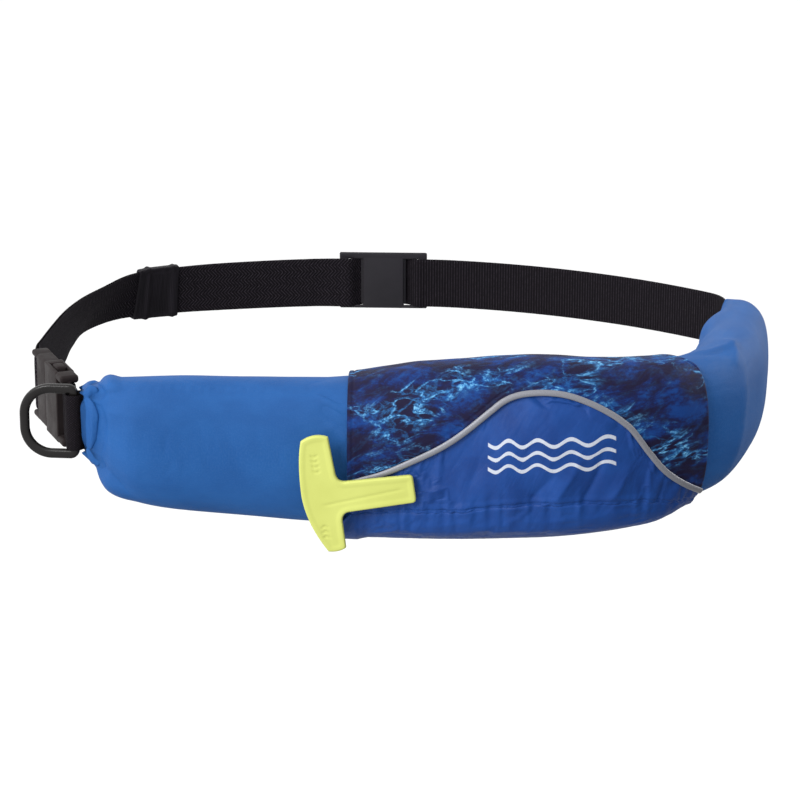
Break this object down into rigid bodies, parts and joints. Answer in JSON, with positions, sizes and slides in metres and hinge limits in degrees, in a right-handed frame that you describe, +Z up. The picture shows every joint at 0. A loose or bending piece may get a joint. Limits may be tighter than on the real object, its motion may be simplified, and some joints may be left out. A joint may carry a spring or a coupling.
{
  "type": "inflatable belt pack",
  "caption": "Slim curved waist pack worn on a webbing belt, with a patterned front cover, gathered pocket, T-shaped pull handle, side-release buckle, slider and ring.",
  "frame": {"origin": "centre of the waist loop, halfway up the belt", "axes": "+Z up as worn, -Y the front of the pack, +X the wearer's left as the pack is seen from the front"},
  "size_m": [0.5217, 0.4242, 0.1236],
  "materials": {
    "blue_nylon": "coated nylon",
    "satin_nylon": "satin nylon",
    "print_cloth": "printed satin nylon",
    "bladder": "coated bladder cloth",
    "reflective": "silver piping",
    "yellow_plastic": "matt",
    "black_plastic": "satin",
    "black_webbing": "woven"
  },
  "bodies": {
    "pack": {"pouch_shell": "blue_nylon", "folded_bladder": "bladder", "front_cover": "print_cloth", "pocket_panel": "satin_nylon", "pocket_hem": "satin_nylon", "piping": "reflective", "pull_handle": "yellow_plastic", "handle_patch": "black_webbing", "d_ring_loop": "black_webbing", "buckle_socket": "black_plastic", "buckle_plug": "black_plastic", "buckle_tab": "black_webbing", "belt_webbing": "black_webbing", "slider": "black_plastic", "keeper": "black_webbing"},
    "ring": {"d_ring": "black_plastic"}
  },
  "joints": [
    {"name": "d_ring_swing", "type": "hinge", "parent": "pack", "child": "ring", "pos_m": [-0.21194, -0.18867, 0], "axis": [0, 0, 1], "range_deg": [-45, 110]}
  ]
}
